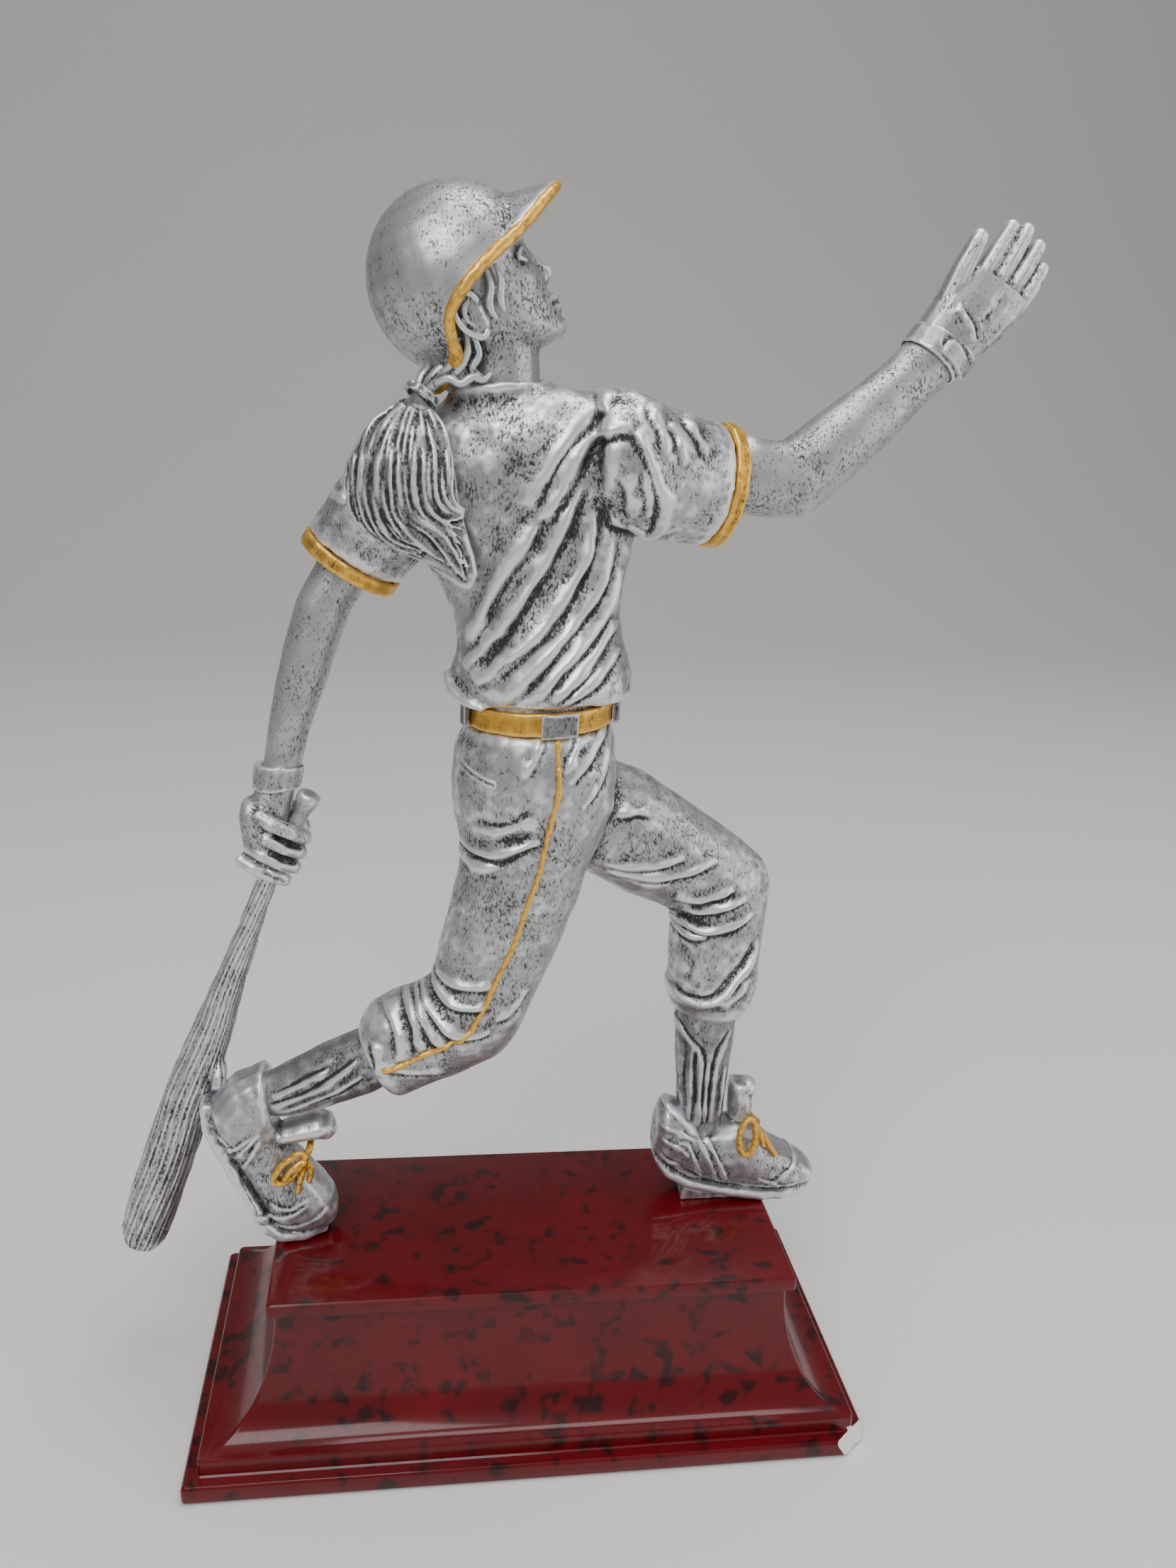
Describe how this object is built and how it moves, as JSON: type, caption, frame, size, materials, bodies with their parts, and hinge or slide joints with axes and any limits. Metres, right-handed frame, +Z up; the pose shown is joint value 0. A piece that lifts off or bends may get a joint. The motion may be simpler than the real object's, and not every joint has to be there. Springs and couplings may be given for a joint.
{
  "type": "figure trophy",
  "caption": "Award trophy: a resin softball batter in mid-swing follow-through, bat lowered in one hand, on a stepped rectangular base with a hollow-curved waist.",
  "frame": {"origin": "centre of the underside of the felt pad, which is what the trophy stands on", "axes": "+Z up; +X along the base's long side, the way the batter strides; +Y to the batter's left side, away from the viewer of the trophy's front"},
  "size_m": [0.1949, 0.075, 0.2637],
  "materials": {
    "antique_silver": "satin metallic silver paint on resin, with a black wash in its recesses and fine black speckle",
    "dark_silver": "satin metallic silver paint under a heavier black wash",
    "gold_paint": "metallic gold paint, satin gloss",
    "red_lacquer": "deep red lacquer with black mottling under a high gloss clear coat, on white resin",
    "felt": "black adhesive felt",
    "steel": "plain steel stud"
  },
  "bodies": {
    "root": {"base_casting": "red_lacquer", "bat": "antique_silver", "bat_heel_bridge": "antique_silver", "belt": "gold_paint", "felt_pad": "felt", "front_belt_loop": "dark_silver", "hair_tie": "dark_silver", "head": "antique_silver", "helmet": "antique_silver", "helmet_trim": "gold_paint", "jersey_body": "antique_silver", "left_arm": "antique_silver", "left_belt_loop": "dark_silver", "left_foot_block": "antique_silver", "left_foot_stud": "steel", "left_hand": "antique_silver", "left_shoe_laces": "gold_paint", "left_shoe_sole": "antique_silver", "left_shoe_tongue": "antique_silver", "left_shoe_upper": "antique_silver", "left_sleeve": "antique_silver", "left_sleeve_band": "gold_paint", "left_sock": "dark_silver", "left_wrist_strap": "antique_silver", "ponytail": "dark_silver", "rear_belt_loop": "dark_silver", "rear_pocket_welt": "antique_silver", "right_arm": "antique_silver", "right_belt_loop": "dark_silver", "right_foot_stud": "steel", "right_hand": "antique_silver", "right_leg_piping": "gold_paint", "right_shoe_laces": "gold_paint", "right_shoe_sole": "antique_silver", "right_shoe_tongue": "antique_silver", "right_shoe_upper": "antique_silver", "right_sleeve": "antique_silver", "right_sleeve_band": "gold_paint", "right_sock": "dark_silver", "right_strap_tab": "antique_silver", "right_wrist_strap": "antique_silver", "trousers_left_leg": "antique_silver", "trousers_seat_and_right_leg": "antique_silver"}
  },
  "joints": []
}
